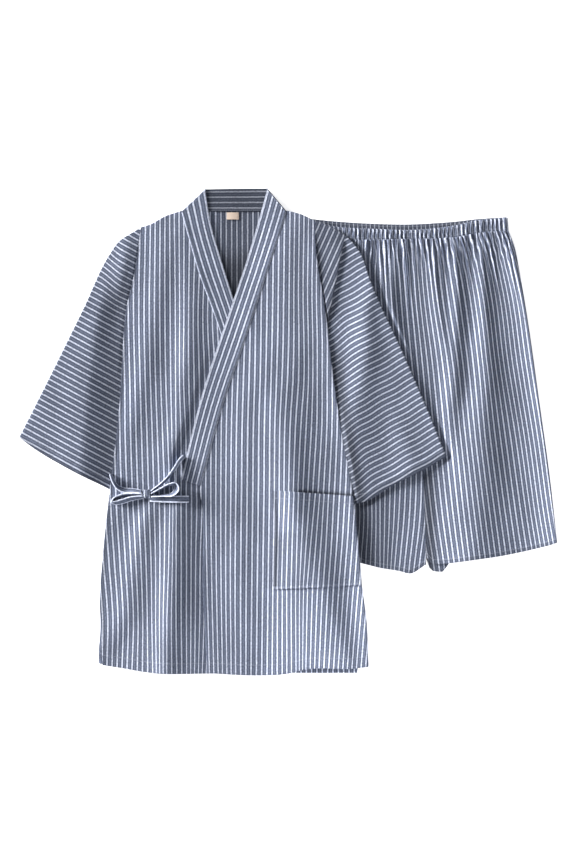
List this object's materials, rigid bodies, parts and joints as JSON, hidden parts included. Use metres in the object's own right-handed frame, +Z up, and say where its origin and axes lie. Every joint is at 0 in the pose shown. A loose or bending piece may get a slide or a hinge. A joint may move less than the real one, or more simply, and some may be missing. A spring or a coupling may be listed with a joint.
{
  "type": "kimono pajama set",
  "caption": "Two-piece pajama set laid flat: a wide-sleeved wrap top with a collar band, patch pocket and side bow over gathered-waist shorts.",
  "frame": {"origin": "middle of the set's outline on the surface that it lies on", "axes": "+X towards the wearer's left, from the top to the shorts' outer leg; +Y from the hems to the neck; +Z up from the surface"},
  "size_m": [0.967, 0.874, 0.0192],
  "materials": {
    "striped_cotton": "matt woven cotton, slate blue with narrow white stripes",
    "label_ribbon": "cream woven ribbon, blank"
  },
  "bodies": {
    "root": {"back_panel": "striped_cotton", "right_front": "striped_cotton", "left_front": "striped_cotton", "right_sleeve": "striped_cotton", "left_sleeve": "striped_cotton", "collar": "striped_cotton", "patch_pocket": "striped_cotton", "neck_label": "label_ribbon", "tie_side": "striped_cotton", "tie_band": "striped_cotton", "bow_right_loop": "striped_cotton", "bow_left_loop": "striped_cotton", "bow_front_end": "striped_cotton", "bow_back_end": "striped_cotton", "tie_knot": "striped_cotton", "waistband": "striped_cotton", "right_leg": "striped_cotton", "left_leg": "striped_cotton"}
  },
  "joints": []
}
